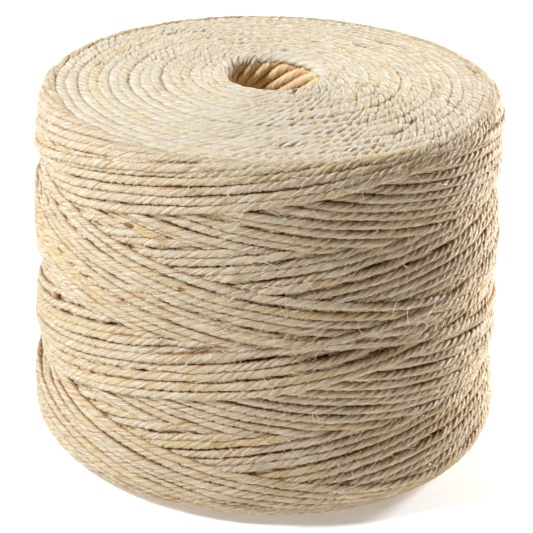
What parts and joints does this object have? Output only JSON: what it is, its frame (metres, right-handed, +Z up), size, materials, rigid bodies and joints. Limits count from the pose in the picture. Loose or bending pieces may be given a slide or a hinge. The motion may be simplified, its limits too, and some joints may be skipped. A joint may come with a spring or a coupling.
{
  "type": "roll of sisal binder twine",
  "caption": "Machine-wound roll of pale laid sisal twine: a squat cylinder with rounded edges, a domed top and a hole through its middle, standing on its flat end.",
  "frame": {"origin": "middle of the flat foot, on the surface that the roll stands on", "axes": "+Z up along the hole; -Y towards the face where the loops rise from the left and fall to the right under the rim"},
  "size_m": [0.1612, 0.1611, 0.131],
  "materials": {
    "sisal": "natural pale straw, matt and slightly hairy"
  },
  "bodies": {
    "root": {"wound_twine": "sisal"}
  },
  "joints": []
}
